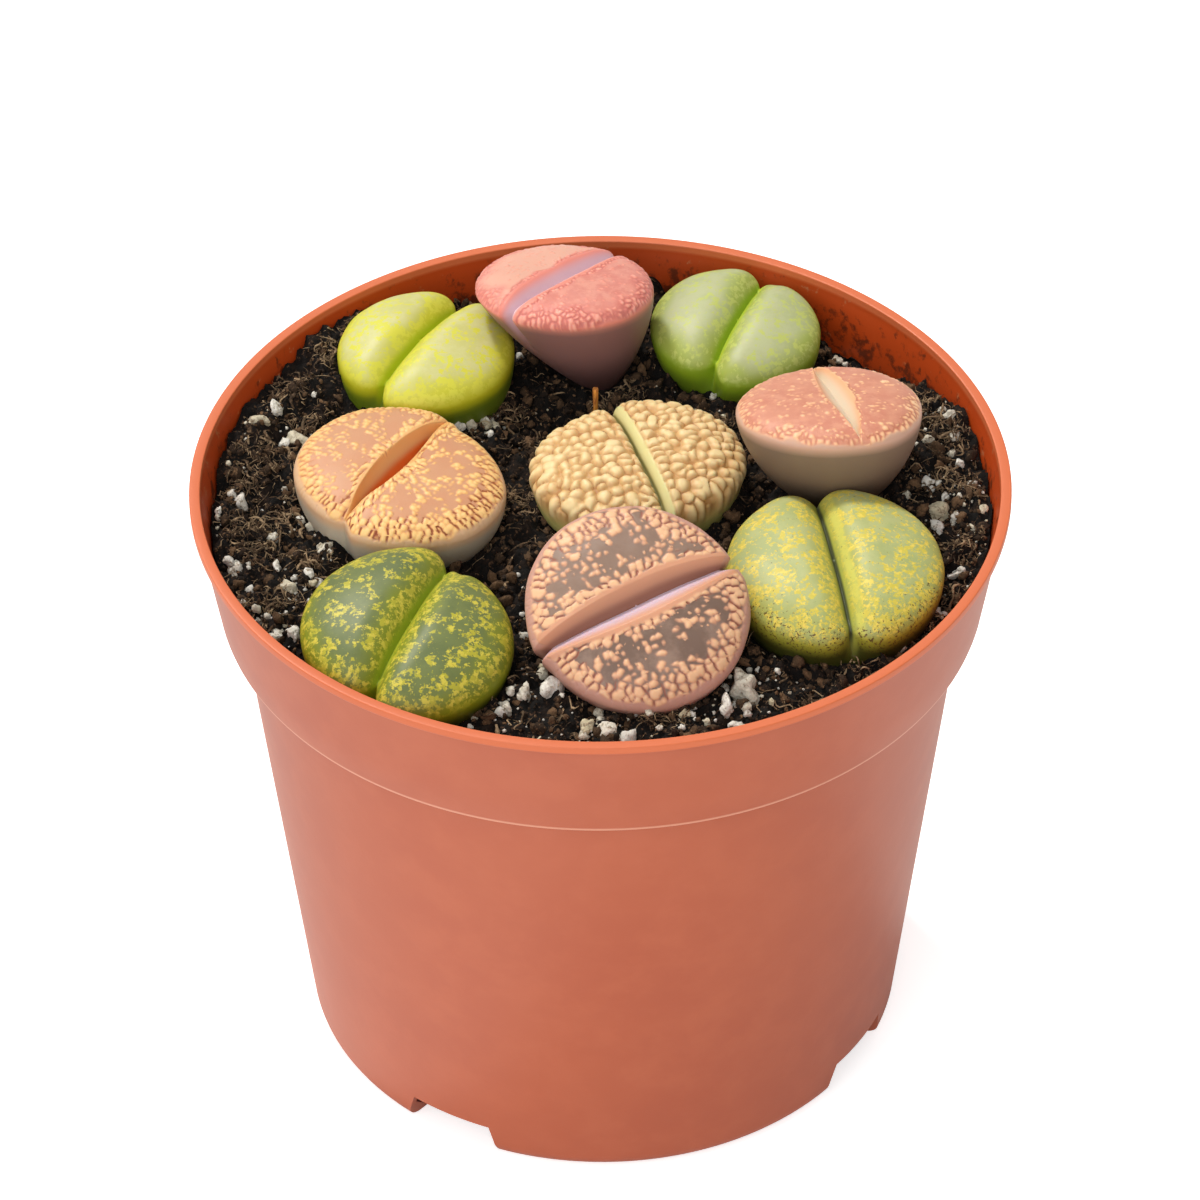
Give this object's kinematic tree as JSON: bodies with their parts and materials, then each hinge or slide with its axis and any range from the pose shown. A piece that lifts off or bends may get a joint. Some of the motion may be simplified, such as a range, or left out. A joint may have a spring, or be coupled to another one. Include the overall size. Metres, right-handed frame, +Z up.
{
  "type": "potted lithops",
  "caption": "Living stones in a round moulded plastic nursery pot with a tall collar, gritty soil and perlite.",
  "frame": {"origin": "on the ground under the middle of the pot", "axes": "+Z up; -Y is the side that the picture looks at, +X to its right"},
  "size_m": [0.12, 0.12, 0.1083],
  "materials": {
    "pot_plastic": "satin moulded polypropylene, terracotta colour",
    "potting_soil": "dark peat mix with fibres, grit and white perlite",
    "skin_lime": "waxy succulent skin, lime",
    "skin_pink": "waxy succulent skin, pink",
    "skin_pale": "waxy succulent skin, pale",
    "skin_tan": "waxy succulent skin, tan",
    "skin_orange": "waxy succulent skin, orange",
    "skin_cream": "waxy succulent skin, cream",
    "skin_green": "waxy succulent skin, green",
    "skin_mauve": "waxy succulent skin, mauve",
    "skin_yellow": "waxy succulent skin, yellow",
    "dry_stalk": "dry papery stalk"
  },
  "bodies": {
    "root": {"pot": "pot_plastic", "soil": "potting_soil", "lithops_lime": "skin_lime", "lithops_pink": "skin_pink", "lithops_pale": "skin_pale", "lithops_tan": "skin_tan", "lithops_orange": "skin_orange", "lithops_cream": "skin_cream", "lithops_green": "skin_green", "lithops_mauve": "skin_mauve", "lithops_yellow": "skin_yellow", "dry_stalk": "dry_stalk"}
  },
  "joints": []
}
